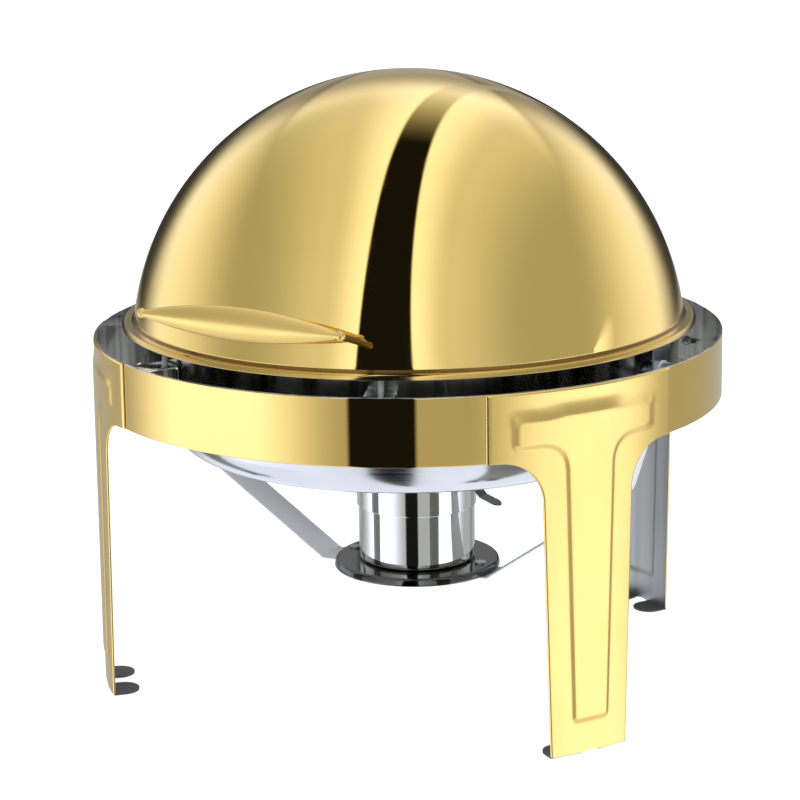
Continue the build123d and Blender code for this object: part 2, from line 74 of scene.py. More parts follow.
# The studio's light: brightness of its parts, and the two colours it runs between
GAP_TURN = CAMERA_TURN - 10.0
GAP_HALF = 0.2
PANEL = 0.7
ROOM = 0.25
STRIP = 0.6
LOW_PANEL = 0.8
FLOOR_LIGHT = 0.5
GAP_LIGHT = 0.005
EXPOSURE = 2.0
WARM_ROOM = (1.0, 1.0, 0.9)
COOL_PANEL = (1.0, 1.08, 1.4)
WHITE = (1.0, 1.0, 1.0)


# ---------------------------------------------------------------- node helpers

def new_material(name):
    material = bpy.data.materials.new(name)
    material.use_nodes = True
    tree = material.node_tree
    return material, tree, tree.nodes["Principled BSDF"]


def link(tree, source, target):
    tree.links.new(source, target)


def calc(tree, operation, *values):
    """A maths node whose inputs are numbers or other nodes' outputs."""
    node = tree.nodes.new("ShaderNodeMath")
    node.operation = operation
    for socket, value in zip(node.inputs, values):
        if isinstance(value, (int, float)):
            socket.default_value = value
        else:
            tree.links.new(value, socket)
    return node.outputs[0]


def dot(tree, source, vector):
    node = tree.nodes.new("ShaderNodeVectorMath")
    node.operation = "DOT_PRODUCT"
    tree.links.new(source, node.inputs[0])
    node.inputs[1].default_value = vector
    return node.outputs["Value"]


def ramp(tree, source, stops):
    """A smooth grey ramp from (position, value) pairs."""
    node = tree.nodes.new("ShaderNodeValToRGB")
    node.color_ramp.interpolation = "EASE"
    elements = node.color_ramp.elements
    while len(elements) < len(stops):
        elements.new(1.0)
    for element, (position, value) in zip(elements, stops):
        element.position = position
        element.color = (value, value, value, 1.0)
    tree.links.new(source, node.inputs["Fac"])
    return node.outputs["Color"]


def span(tree, source, low, high, to_low=0.0, to_high=1.0, smooth=True):
    """The value carried from one range to another, and held at both ends."""
    node = tree.nodes.new("ShaderNodeMapRange")
    node.interpolation_type = "SMOOTHSTEP" if smooth else "LINEAR"
    node.inputs["From Min"].default_value = low
    node.inputs["From Max"].default_value = high
    node.inputs["To Min"].default_value = to_low
    node.inputs["To Max"].default_value = to_high
    tree.links.new(source, node.inputs["Value"])
    return node.outputs["Result"]


def noise(tree, scale, detail=3.0, stretch=(1.0, 1.0, 1.0)):
    """Noise in object space, in features per metre, drawn out along an axis by a small factor."""
    place = tree.nodes.new("ShaderNodeTexCoord")
    mapping = tree.nodes.new("ShaderNodeMapping")
    mapping.inputs["Scale"].default_value = stretch
    texture = tree.nodes.new("ShaderNodeTexNoise")
    texture.inputs["Scale"].default_value = scale
    texture.inputs["Detail"].default_value = detail
    link(tree, place.outputs["Object"], mapping.inputs["Vector"])
    link(tree, mapping.outputs["Vector"], texture.inputs["Vector"])
    return texture.outputs["Fac"]


def mix_colours(tree, factor, first, second):
    """A mix of two colours, each given as red, green and blue or as another node's output."""
    node = tree.nodes.new("ShaderNodeMix")
    node.data_type = "RGBA"
    link(tree, factor, node.inputs["Factor"])
    for socket, value in ((node.inputs["A"], first), (node.inputs["B"], second)):
        if isinstance(value, tuple):
            socket.default_value = (*value, 1.0)
        else:
            link(tree, value, socket)
    return node.outputs["Result"]


def blend_values(tree, factor, first, second):
    """first where factor is 0, and second where it is 1."""
    node = tree.nodes.new("ShaderNodeMix")
    pairs = ((node.inputs["Factor"], factor), (node.inputs["A"], first), (node.inputs["B"], second))
    for socket, value in pairs:
        if isinstance(value, (int, float)):
            socket.default_value = value
        else:
            link(tree, value, socket)
    return node.outputs["Result"]


def add_bump(tree, shader, height, strength, distance):
    node = tree.nodes.new("ShaderNodeBump")
    node.inputs["Strength"].default_value = strength
    node.inputs["Distance"].default_value = distance
    link(tree, height, node.inputs["Height"])
    link(tree, node.outputs["Normal"], shader.inputs["Normal"])


# ------------------------------------------------------------------- materials

def polished_metal(name, clean, worn, low_rough, high_rough):
    """Mirror-polished metal: faint polishing haze, slight tint change and shallow ripples."""
    material, tree, shader = new_material(name)
    shader.inputs["Metallic"].default_value = 1.0
    haze = noise(tree, 9.0, 4.0)
    smears = noise(tree, 60.0, 5.0, (1.0, 1.0, 0.25))
    link(tree, mix_colours(tree, span(tree, haze, 0.35, 0.7), clean, worn), shader.inputs["Base Color"])
    rough = span(tree, smears, 0.35, 0.75, low_rough, high_rough)
    link(tree, rough, shader.inputs["Roughness"])
    ripple = noise(tree, 14.0, 1.0)
    add_bump(tree, shader, ripple, 0.10, 0.00025)
    return material


def streaked_metal(name, light, dark, low_rough, high_rough):
    """Rolled sheet steel that is left dull, with upright drawing streaks."""
    material, tree, shader = new_material(name)
    shader.inputs["Metallic"].default_value = 1.0
    streaks = noise(tree, 70.0, 3.0, (1.0, 1.0, 0.03))
    link(tree, mix_colours(tree, span(tree, streaks, 0.35, 0.65), dark, light), shader.inputs["Base Color"])
    link(tree, span(tree, streaks, 0.3, 0.7, low_rough, high_rough), shader.inputs["Roughness"])
    fine = noise(tree, 500.0, 2.0, (1.0, 1.0, 0.05))
    add_bump(tree, shader, fine, 0.10, 0.00002)
    return material


def spun_metal(name, light, dark, low_rough, high_rough):
    """Satin metal spun on a lathe: fine rings round the z axis and cloudy patches."""
    material, tree, shader = new_material(name)
    shader.inputs["Metallic"].default_value = 1.0
    place = tree.nodes.new("ShaderNodeTexCoord").outputs["Object"]
    parts = tree.nodes.new("ShaderNodeSeparateXYZ")
    link(tree, place, parts.inputs[0])
    x, y, z = parts.outputs
    squares = calc(tree, "ADD", calc(tree, "MULTIPLY", x, x), calc(tree, "MULTIPLY", y, y))
    radius = calc(tree, "SQRT", squares)
    rings = tree.nodes.new("ShaderNodeCombineXYZ")
    link(tree, radius, rings.inputs["X"])
    link(tree, z, rings.inputs["Z"])
    texture = tree.nodes.new("ShaderNodeTexNoise")
    texture.inputs["Scale"].default_value = 900.0
    texture.inputs["Detail"].default_value = 3.0
    link(tree, rings.outputs[0], texture.inputs["Vector"])
    lines = texture.outputs["Fac"]
    clouds = noise(tree, 12.0, 3.0)
    link(tree, mix_colours(tree, span(tree, clouds, 0.35, 0.7), dark, light), shader.inputs["Base Color"])
    link(tree, span(tree, lines, 0.3, 0.7, low_rough, high_rough), shader.inputs["Roughness"])
    add_bump(tree, shader, lines, 0.10, 0.00001)
    return material


def ground_metal(name, light, dark, low_rough, high_rough):
    """Machined steel with a fine even grain."""
    material, tree, shader = new_material(name)
    shader.inputs["Metallic"].default_value = 1.0
    grain = noise(tree, 900.0, 4.0)
    broad = noise(tree, 18.0, 3.0)
    link(tree, mix_colours(tree, broad, dark, light), shader.inputs["Base Color"])
    link(tree, span(tree, grain, 0.3, 0.7, low_rough, high_rough), shader.inputs["Roughness"])
    add_bump(tree, shader, grain, 0.15, 0.00002)
    return material


def pale_painted_reflection_metal(name, light, dark, rough):
    """Steel painted near-white and mostly milky, as painted reflection of the bright surroundings the strap
    gives back, with a faint even grain.
    """
    material, tree, shader = new_material(name)
    shader.inputs["Metallic"].default_value = 0.2
    grain = noise(tree, 600.0, 2.0)
    link(tree, mix_colours(tree, grain, dark, light), shader.inputs["Base Color"])
    link(tree, span(tree, grain, 0.3, 0.7, rough - 0.04, rough + 0.04), shader.inputs["Roughness"])
    add_bump(tree, shader, grain, 0.05, 0.00001)
    return material


def moulded(name, light, dark, rough, grain):
    """Plastic or rubber with a moulded grain."""
    material, tree, shader = new_material(name)
    speckle = noise(tree, grain, 3.0)
    link(tree, mix_colours(tree, speckle, dark, light), shader.inputs["Base Color"])
    link(tree, span(tree, speckle, 0.3, 0.7, rough - 0.08, rough + 0.08), shader.inputs["Roughness"])
    add_bump(tree, shader, speckle, 0.3, 0.00005)
    return material


GOLD_CLEAN = (0.86, 0.615, 0.19)
GOLD_WORN = (0.83, 0.585, 0.17)

GOLD = polished_metal("gold_mirror", GOLD_CLEAN, GOLD_WORN, 0.02, 0.045)
GOLD_SATIN = polished_metal("gold_satin", GOLD_CLEAN, GOLD_WORN, 0.30, 0.36)
GOLD_SOFT = polished_metal("gold_soft", GOLD_CLEAN, GOLD_WORN, 0.17, 0.23)
# A darker copy of the gold for the rim flange: painted shade.
GOLD_RIM_SHADED = polished_metal("gold_rim_painted_shade", (0.62, 0.42, 0.115), (0.58, 0.39, 0.10), 0.08, 0.13)
# A shaded copy of the gold, dark brown: painted shade, used for the groove ring under the cover and for the
# handle posts.
SHADED_GOLD = polished_metal("gold_painted_shade", (0.22, 0.13, 0.03), (0.17, 0.10, 0.02), 0.25, 0.35)
STEEL = polished_metal("steel_mirror", (0.80, 0.79, 0.73), (0.75, 0.74, 0.69), 0.04, 0.08)
STEEL_DARK = polished_metal("steel_dark", (0.13, 0.125, 0.112), (0.10, 0.096, 0.087), 0.08, 0.14)
INSIDE = streaked_metal("steel_inside", (0.44, 0.44, 0.39), (0.17, 0.17, 0.155), 0.12, 0.22)
LEG_INSIDE = streaked_metal("steel_leg_inside", (0.36, 0.355, 0.31), (0.26, 0.257, 0.23), 0.30, 0.40)
SATIN = spun_metal("steel_satin", (0.78, 0.775, 0.72), (0.72, 0.715, 0.67), 0.13, 0.19)
FASTENER = ground_metal("steel_fastener", (0.62, 0.62, 0.63), (0.48, 0.48, 0.50), 0.24, 0.36)
PALE_PAINTED_REFLECTION = pale_painted_reflection_metal("steel_pale_painted_reflection", (0.95, 0.95, 0.92), (0.91, 0.91, 0.88), 0.34)
NYLON = moulded("nylon", (0.86, 0.85, 0.80), (0.78, 0.77, 0.72), 0.45, 900.0)
SILICONE = moulded("silicone", (0.46, 0.46, 0.44), (0.38, 0.38, 0.36), 0.40, 1200.0)
# A near-black moulded finish for the foot tabs.
DARK_TAB = moulded("foot_tab_dark", (0.055, 0.053, 0.05), (0.035, 0.034, 0.033), 0.50, 900.0)


# --------------------------------------------------------------- mesh builders

def finish_mesh(name, mesh, materials, sharp_angle=35.0):
    """An object from a mesh, smooth except at edges sharper than an angle in degrees."""
    for material in materials:
        mesh.materials.append(material)
    mesh.validate()
    for polygon in mesh.polygons:
        polygon.use_smooth = True
    mesh.set_sharp_from_angle(angle=radians(sharp_angle))
    piece = bpy.data.objects.new(name, mesh)
    bpy.context.scene.collection.objects.link(piece)
    return piece


def arc_points(centre, radius, start, end, steps):
    """Points on an arc in the (r, z) plane, angles in degrees."""
    points = []
    for i in range(steps + 1):
        a = radians(start + (end - start) * i / steps)
        points.append((centre[0] + radius * cos(a), centre[1] + radius * sin(a)))
    return points


def rounded_path(corners, steps=8):
    """An open path in a plane through (x, y, radius) corners, with an arc at each inner corner."""
    points = [corners[0][:2]]
    for before, here, after in zip(corners, corners[1:], corners[2:]):
        x, y, radius = here
        ax, ay = before[0] - x, before[1] - y
        bx, by = after[0] - x, after[1] - y
        la, lb = hypot(ax, ay), hypot(bx, by)
        ax, ay, bx, by = ax / la, ay / la, bx / lb, by / lb
        half = acos(max(-1.0, min(1.0, ax * bx + ay * by))) / 2
        if radius <= 0 or half > radians(89.5):
            points.append((x, y))
            continue
        reach = min(radius / tan(half), 0.49 * la, 0.49 * lb)
        radius = reach * tan(half)
        mx, my = ax + bx, ay + by
        lm = hypot(mx, my)
        cx, cy = x + mx / lm * radius / sin(half), y + my / lm * radius / sin(half)
        start = atan2(y + ay * reach - cy, x + ax * reach - cx)
        end = atan2(y + by * reach - cy, x + bx * reach - cx)
        turn = (end - start + pi) % (2 * pi) - pi
        for i in range(steps + 1):
            a = start + turn * i / steps
            points.append((cx + radius * cos(a), cy + radius * sin(a)))
    points.append(corners[-1][:2])
    return points


def held(path):
    """The path with a point close to both ends of every long run, so that its shading stays flat."""
    long_run, hold = 6.0, 0.3
    points = [path[0]]
    for (x0, y0), (x1, y1) in zip(path, path[1:]):
        length = hypot(x1 - x0, y1 - y0)
        if length > long_run:
            dx, dy = (x1 - x0) / length * hold, (y1 - y0) / length * hold
            points += [(x0 + dx, y0 + dy), (x1 - dx, y1 - dy)]
        points.append((x1, y1))
    return points


def offset_sides(path, thickness):
    """The left and right sides of an open path, half a thickness away."""
    left, right = [], []
    for i, (x, y) in enumerate(path):
        x0, y0 = path[max(i - 1, 0)]
        x1, y1 = path[min(i + 1, len(path) - 1)]
        dx, dy = x1 - x0, y1 - y0
        length = hypot(dx, dy)
        nx, ny = -dy / length * thickness / 2, dx / length * thickness / 2
        left.append((x + nx, y + ny))
        right.append((x - nx, y - ny))
    return left, right


def sheet_loop(path, thickness, left_slot=0, right_slot=0):
    """The closed outline of a bent sheet, as (r, z, slot) points, with half-round edges.

    An end on the axis stays open, because the sheet goes on across the axis.
    """
    path = held(path)
    left, right = offset_sides(path, thickness)
    loop = [(x, y, left_slot) for x, y in left]
    loop += rounded_end(left[-1], right[-1], path[-1], left_slot)
    loop += [(x, y, right_slot) for x, y in reversed(right)]
    loop += rounded_end(right[0], left[0], path[0], right_slot)
    return loop


def rounded_end(first, last, middle, slot, steps=4):
    """The half-round edge between two sides, or nothing on the axis."""
    if abs(middle[0]) < 1e-6:
        return []
    cx, cy = (first[0] + last[0]) / 2, (first[1] + last[1]) / 2
    radius = hypot(first[0] - cx, first[1] - cy)
    start = atan2(first[1] - cy, first[0] - cx)
    points = []
    for i in range(1, steps):
        a = start - pi * i / steps
        points.append((cx + radius * cos(a), cy + radius * sin(a), slot))
    return points


def lathe(name, loop, materials, segments=256, sharp_angle=35.0):
    """A closed solid of revolution from a closed (r, z, slot) loop. Points on the axis become poles."""
    vertices, faces, slots, rings = [], [], [], []
    for r, z, _ in loop:
        if abs(r) < 1e-4:
            rings.append([len(vertices)] * segments)
            vertices.append((0.0, 0.0, z * MM))
        else:
            start = len(vertices)
            for i in range(segments):
                a = 2 * pi * i / segments
                vertices.append((r * sin(a) * MM, -r * cos(a) * MM, z * MM))
            rings.append(list(range(start, start + segments)))
    for k in range(len(loop)):
        here, there = rings[k], rings[(k + 1) % len(loop)]
        if here[0] == here[1] and there[0] == there[1]:
            continue
        for i in range(segments):
            j = (i + 1) % segments
            face = [here[i], here[j], there[j], there[i]]
            unique = list(dict.fromkeys(face))
            faces.append(unique)
            slots.append(loop[k][2])
    mesh = bpy.data.meshes.new(name)
    mesh.from_pydata(vertices, [], faces)
    for polygon, slot in zip(mesh.polygons, slots):
        polygon.material_index = slot
    fix_normals(mesh)
    return finish_mesh(name, mesh, materials, sharp_angle)


def fix_normals(mesh):
    """Turn all faces of a closed mesh outwards."""
    bm = bmesh.new()
    bm.from_mesh(mesh)
    bmesh.ops.recalc_face_normals(bm, faces=bm.faces)
    bm.to_mesh(mesh)
    bm.free()


def swept(name, centres, sections, materials, sharp_angle=35.0, place=None):
    """A closed solid through a row of equal-length closed sections, capped at both ends."""
    vertices, faces = [], []
    count = len(sections[0])
    for centre, section in zip(centres, sections):
        for point in section:
            p = Vector(centre) + Vector(point)
            vertices.append((place @ p if place else p) * MM)
    for k in range(len(sections) - 1):
        for i in range(count):
            j = (i + 1) % count
            faces.append([k * count + i, k * count + j, (k + 1) * count + j, (k + 1) * count + i])
    faces.append(list(range(count)))
    faces.append([(len(sections) - 1) * count + i for i in range(count)])
    mesh = bpy.data.meshes.new(name)
    mesh.from_pydata(vertices, [], faces)
    fix_normals(mesh)
    return finish_mesh(name, mesh, materials, sharp_angle)


def joined(name, pieces):
    """One piece from several meshes with the same materials."""
    first = pieces[0]
    bm = bmesh.new()
    for piece in pieces:
        bm.from_mesh(piece.data)
    materials = list(first.data.materials)
    mesh = bpy.data.meshes.new(name)
    bm.to_mesh(mesh)
    bm.free()
    for piece in pieces:
        bpy.data.objects.remove(piece)
    return finish_mesh(name, mesh, materials)


def turn(angle):
    """Takes a point made on the -Y side to its angle round the dish."""
    return Matrix.Rotation(radians(angle), 4, "Z")


def strip(name, path, width, thickness, materials, place):
    """A flat strip bent along a path in the (x, z) plane, with rounded long edges."""
    left, right = offset_sides(path, thickness)
    bevel = thickness * 0.45
    sections = []
    for (lx, lz), (rx, rz) in zip(left, right):
        half = width / 2
        ux, uz = (lx - rx) / thickness, (lz - rz) / thickness
        section = []
        for y_side, z_side in ((1, 1), (-1, 1), (-1, -1), (1, -1)):
            for k in range(4):
                a = radians(30 * k)
                along = (cos(a), sin(a)) if y_side * z_side > 0 else (sin(a), cos(a))
                y = y_side * (half - bevel + bevel * along[0])
                d = z_side * (thickness / 2 - bevel + bevel * along[1])
                section.append((ux * d, y, uz * d))
        sections.append(section)
    centres = [((lx + rx) / 2, 0.0, (lz + rz) / 2) for (lx, lz), (rx, rz) in zip(left, right)]
    return swept(name, centres, sections, materials, place=place)


def round_bar(name, stations, materials, place=None, steps=32):
    """A round bar through (point, radius) stations."""
    centres, sections = [], []
    axis = (Vector(stations[-1][0]) - Vector(stations[0][0])).normalized()
    side = axis.orthogonal().normalized()
    other = axis.cross(side)
    for point, radius in stations:
        centres.append(point)
        section = []
        for i in range(steps):
            a = 2 * pi * i / steps
            section.append(side * radius * cos(a) + other * radius * sin(a))
        sections.append(section)
    return swept(name, centres, sections, materials, place=place)


# ------------------------------------------------------------------------- lid

def lid_dome():
    """The cover: a shallow shell of a sphere, gold outside and steel inside."""
    thickness = 1.0
    radius = DOME_R - thickness / 2
    low = degrees(asin((DOME_BASE_Z - PIVOT_Z) / DOME_R))
    path = arc_points((0.0, PIVOT_Z), radius, low, 90.0, 96)
    path[-1] = (0.0, PIVOT_Z + radius)
    dome = lathe("dome", sheet_loop(path, thickness, 1, 0), [GOLD, STEEL], RING_STEPS)
    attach(dome, "lid")
    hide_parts("lid_dome")


def lid_rim():
    """The rolled flange round the cover's edge, in a darker gold that paints shade on it, and a dark ring
    of painted shade in the groove where the cover stands on it.
    """
    thickness = 1.1
    inner = sqrt((DOME_R - 1.0) ** 2 - (DOME_BASE_Z - PIVOT_Z) ** 2) + 0.4
    top = DOME_BASE_Z - 0.6
    path = rounded_path([
        (inner, top, 0),
        (209.4, top, 2.4),
        (210.4, 266.1, 0),
    ], 10)
    rim = lathe("rim", sheet_loop(path, thickness, 0, 1), [GOLD_RIM_SHADED, STEEL], RING_STEPS)
    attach(rim, "lid")
    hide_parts("lid_rim")
    base = sqrt(DOME_R**2 - (DOME_BASE_Z - PIVOT_Z) ** 2)
    # A dark gold ring of painted shade in the groove where the cover stands on the flange.
    corners = [
        (base - 0.6, top + 0.3, 0),
        (base + 1.9, top + 0.3, 0),
        (base + 1.1, top + 1.1, 0),
        (base - 0.1, top + 1.9, 0),
    ]
    seam_and_shade_ring = lathe("rim_groove_shade", corners, [SHADED_GOLD], RING_STEPS)
    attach(seam_and_shade_ring, "lid")


def lid_handle():
    """The spindle handle: small ball ends, a waist beside each, and a taller middle."""
    half_length = 83.5
    ball, neck = 3.5, 2.7
    half_height, half_depth = 11.8, 7.3
    stations, steps = 96, 48
    centres, sections = [], []
    for i in range(stations + 1):
        x = -half_length * cos(pi * i / stations)
        inward = half_length - abs(x)
        if inward < 2 * ball:
            height = sqrt(max(ball**2 - (inward - ball) ** 2, 0.05))
            height = height if inward < ball else max(height, neck)
            depth = height
        else:
            swell = sin(pi / 2 * (inward - 2 * ball) / (half_length - 2 * ball)) ** 0.85
            height = neck + (half_height - neck) * swell
            depth = neck + (half_depth - neck) * swell
        section = []
        for k in range(steps):
            a = 2 * pi * k / steps
            section.append((0.0, depth * cos(a), height * sin(a)))
        centres.append((x, HANDLE_Y, HANDLE_Z))
        sections.append(section)
    handle = swept("handle", centres, sections, [GOLD_SATIN], 60.0)
    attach(handle, "lid")
    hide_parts("lid_handle")


def handle_posts():
    """The two thin dark posts, whose dark colour is painted shade, a little stouter where each meets the
    cover.
    """
    post_x, foot_y, foot_z = 79.0, -180.5, 286.0
    posts = []
    for side in (-1, 1):
        start = Vector((side * post_x, HANDLE_Y, HANDLE_Z))
        foot = Vector((side * post_x, foot_y, foot_z))
        axis = foot - start
        stations = []
        for fraction, radius in ((0.02, 1.9), (0.1, 2.3), (0.84, 1.9), (0.9, 2.3), (0.975, 2.3)):
            stations.append((start + axis * fraction, radius))
        posts.append(round_bar("post", stations, [SHADED_GOLD]))
    both = joined("posts", posts)
    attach(both, "lid")
    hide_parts("handle_posts")


# ----------------------------------------------------------------------- frame

def frame_ring():
    """The outer band, gold outside and steel inside, with rounded edges."""
    thickness = 1.2
    r = RING_R - thickness / 2
    path = [(r, RING_BOTTOM + thickness / 2), (r, RING_TOP - thickness / 2)]
    band = lathe("band", sheet_loop(path, thickness, 1, 0), [GOLD, INSIDE], RING_STEPS)
    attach(band, "frame")
    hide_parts("frame_ring")


LEG_SHEET = 1.5
LEG_INNER_R = RING_R + 0.15
LEG_EDGE = 1.2
ARM_END = 3.2
ARM_END_DROP = 1.2
EMBOSS_HEIGHT = 1.1


def leg_half_width(z):
    """Half the leg's width along the ring at a height."""
    top_half, arm_half = 36.5, 75.5
    neck = RING_BOTTOM - LEG_FILLET
    if z <= neck:
        return LEG_FOOT_HALF + (top_half - LEG_FOOT_HALF) * z / neck
    if z < RING_BOTTOM:
        rise = z - neck
        return top_half + LEG_FILLET - sqrt(max(LEG_FILLET**2 - rise**2, 0.0))
    return arm_half


def box_distance(x, z, half_x, low, high, radius):
    """Signed distance to an upright box with rounded corners, centred on x = 0."""
    mid, half_z = (low + high) / 2, (high - low) / 2
    dx = abs(x) - half_x + radius
    dz = abs(z - mid) - half_z + radius
    outside = hypot(max(dx, 0.0), max(dz, 0.0))
    return outside + min(max(dx, dz), 0.0) - radius


def emboss_at(x, z):
    """How far the pressed T stands out, from 0 to 1, at a place on the leg."""
    foot, arm_low, arm_top = 23.5, RING_TOP - 38.0, RING_TOP - 16.0
    arms = box_distance(x, z, 57.0, arm_low, arm_top, 4.0)
    half = 14.0 + 5.5 * (z - foot) / (arm_low - foot)
    stem = box_distance(x, z, half, foot, arm_top - 6.0, 3.0)
    reach = 20.0
    blend = max(reach - abs(arms - stem), 0.0) / reach
    distance = min(arms, stem) - blend * blend * reach * 0.25
    above = min(max((z - arm_top + 8.0) / 10.0, 0.0), 1.0)
    beyond = min(max((x - 48.0) / 9.0, 0.0), 1.0)
    t = min(max((1.2 + 5.0 * above - distance) / (3.2 + 12.0 * above + 6.0 * beyond), 0.0), 1.0)
    return t * t * (3.0 - 2.0 * t)


def leg_rows():
    """Heights of the leg's rows, closer where the outline turns."""
    foot = LEG_SHEET * 0.5
    top = RING_TOP - 0.3
    stem_rows, fillet_rows, arm_rows = 118, 26, 36
    stem_top = RING_BOTTOM - LEG_FILLET - 1.0
    rows = [foot + (stem_top - foot) * i / stem_rows for i in range(stem_rows)]
    for i in range(fillet_rows):
        rows.append(RING_BOTTOM - LEG_FILLET * (1.0 - sin(radians(90 * i / fillet_rows))))
    rows += [RING_BOTTOM - 0.05, RING_BOTTOM + 0.25]
    low, high = RING_BOTTOM + 0.9, top - 1.6
    rows += [low + (high - low) * i / arm_rows for i in range(arm_rows + 1)]
    rows += [top - step for step in (1.2, 0.8, 0.4, 0.12, 0.0)]
    return rows


def leg_columns(half):
    """Places across the leg at a height: evenly fixed in the middle and close at the two edges."""
    edge = [0.0, 0.12, 0.4, 0.8, 1.2, 1.7, 2.4, 3.2]
    inner = half - 4.0
    core = min(33.5, inner - 1.0)
    middle = [core * i / 30 for i in range(-30, 31)]
    wing = [core + (inner - core) * i / 22 for i in range(1, 23)]
    places = [-half + e for e in edge] + [-w for w in reversed(wing)] + middle + wing
    return places + [half - e for e in reversed(edge)]


def edge_drop(distance, width, drop):
    """How far a rounded edge falls back at a distance from it."""
    past = max(width - distance, 0.0) / width
    return drop * (1.0 - sqrt(max(1.0 - past**2, 0.0)))


def leg_plate(name, angle):
    """The pressed plate of a leg, as two skins on the ring's cylinder closed round the edge."""
    rows = leg_rows()
    width = len(leg_columns(10.0))
    place = turn(angle)
    top = rows[-1]
    vertices, faces, slots = [], [], []
    for skin in (0, 1):
        for z in rows:
            half = leg_half_width(z)
            for s in leg_columns(half):
                arch = 1.2 * max(0.0, 1.0 - (s / 7.2) ** 2) if z < 2.0 else 0.0
                r = LEG_INNER_R + skin * LEG_SHEET + EMBOSS_HEIGHT * emboss_at(s, z)
                drop = edge_drop(min(half - abs(s), top - z), LEG_EDGE, LEG_EDGE)
                if z > RING_BOTTOM:
                    drop = max(drop, edge_drop(half - abs(s), ARM_END, ARM_END_DROP))
                r -= skin * drop
                a = asin(s / (LEG_INNER_R + LEG_SHEET))
                vertices.append((place @ Vector((r * sin(a), -r * cos(a), z + arch))) * MM)
    inner, outer = 0, width * len(rows)
    for k in range(len(rows) - 1):
        for c in range(width - 1):
            for base, slot in ((inner, 1), (outer, 0)):
                a = base + k * width + c
                faces.append([a, a + 1, a + width + 1, a + width])
                slots.append(slot)
    border = [c for c in range(width)]
    border += [k * width + width - 1 for k in range(1, len(rows))]
    border += [(len(rows) - 1) * width + c for c in range(width - 2, -1, -1)]
    border += [k * width for k in range(len(rows) - 2, 0, -1)]
    for here, there in zip(border, border[1:] + border[:1]):
        faces.append([here, there, there + outer, here + outer])
        slots.append(0)
    mesh = bpy.data.meshes.new(name)
    mesh.from_pydata(vertices, [], faces)
    for polygon, slot in zip(mesh.polygons, slots):
        polygon.material_index = slot
    fix_normals(mesh)
    return finish_mesh(name, mesh, [GOLD_SOFT, LEG_INSIDE], 50.0)


def foot_tab(name, angle, side):
    """A half-round tab, bent inwards from a bottom corner of the leg."""
    half_width, length = 12.0, 20.3
    lean = degrees(asin((LEG_FOOT_HALF - half_width) / LEG_INNER_R))
    path = [(length * i / 24, LEG_SHEET / 2) for i in range(25)]
    left, right = offset_sides(path, LEG_SHEET - 0.06)
    centres, sections = [], []
    for (lx, lz), (rx, rz), (px, _) in zip(left, right, path):
        past = max(px - (length - half_width), 0.0) / half_width
        half = max(half_width * sqrt(max(1.0 - past**2, 0.0)), 0.8)
        section = [(half * c / 8, lx, lz) for c in range(-8, 9)]
        section += [(half * c / 8, rx, rz) for c in range(8, -9, -1)]
        sections.append(section)
        centres.append((0.0, -(LEG_INNER_R + 0.3), 0.0))
    return swept(name, centres, sections, [DARK_TAB], 40.0, turn(angle + side * lean))


def legs():
    """Each leg's pressed plate with its two foot tabs."""
    for name, angle in LEG_ANGLES.items():
        plate = leg_plate(name + "_pressing", angle)
        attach(plate, "frame")
        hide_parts(name)
        for side, label in ((-1, "a"), (1, "b")):
            tab = foot_tab(f"{name}_tab_{label}", angle, side)
            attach(tab, "frame")


def support_ring():
    """The inner steel ring that carries the pans, with its weld seam."""
    thickness = 1.2
    r = SUPPORT_R - thickness / 2
    path = [(r, SUPPORT_BOTTOM + thickness / 2), (r, SUPPORT_TOP - thickness / 2)]
    ring = lathe("carrier_ring", sheet_loop(path, thickness), [INSIDE], RING_STEPS)
    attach(ring, "frame")
    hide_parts("support_ring")
    centre = Vector((0.0, -(SUPPORT_R + 0.1), (SUPPORT_TOP + SUPPORT_BOTTOM) / 2))
    lift = Vector((0.0, 0.0, (SUPPORT_TOP - SUPPORT_BOTTOM) / 2 - 1.0))
    seam_angle, seam_r = 38.0, 0.7
    ends = [(centre - lift, seam_r), (centre + lift, seam_r)]
    seam_and_shade_ring = round_bar("carrier_seam", ends, [STEEL], turn(seam_angle), 12)
    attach(seam_and_shade_ring, "frame")


def lugs():
    """The two tongues between the rings, with bent flaps at both ends."""
    width, thickness = 21.0, 1.8
    inner, outer = SUPPORT_R + 1.3, RING_R - 2.5
    top, flap_end, bend = 256.1, 244.0, 2.4
    for name, angle in (("lug_right", LUG_ANGLE), ("lug_left", -LUG_ANGLE)):
        path = rounded_path([
            (inner, flap_end, 0),
            (inner, top, bend),
            (outer, top, bend),
            (outer, flap_end, 0),
        ], 8)
        tongue = strip(name + "_tongue", path, width, thickness, [STEEL], turn(angle - 90.0))
        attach(tongue, "frame")
        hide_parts(name)


# ------------------------------------------------------------------------ pans

def pan_piece(name, node, body, path):
    """A round pan from its section, satin outside and polished inside."""
    piece = lathe(name, sheet_loop(path, PAN_SHEET, 1, 0), [SATIN, STEEL], 288)
    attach(piece, body)
    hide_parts(node)


def water_pan():
    """The deep pan that hangs on the support ring by its rim."""
    path = rounded_path([
        (0.0, 174.0, 0),
        (172.0, 174.0, 21.0),
        (190.4, 267.6, 1.6),
        (191.6, 268.7, 0.6),
        (198.1, 268.7, 0),
    ], 12)
    pan_piece("water_pan_shell", "water_pan", "water_pan", path)


def food_pan():
    """The shallower pan that rests in the water pan."""
    path = rounded_path([
        (0.0, 206.5, 0),
        (171.5, 206.5, 17.0),
        (186.4, 268.6, 1.6),
        (187.6, 269.8, 0.6),
        (194.5, 269.8, 0),
    ], 12)
    pan_piece("food_pan_shell", "food_pan", "food_pan", path)


# ---------------------------------------------------------------------- burner

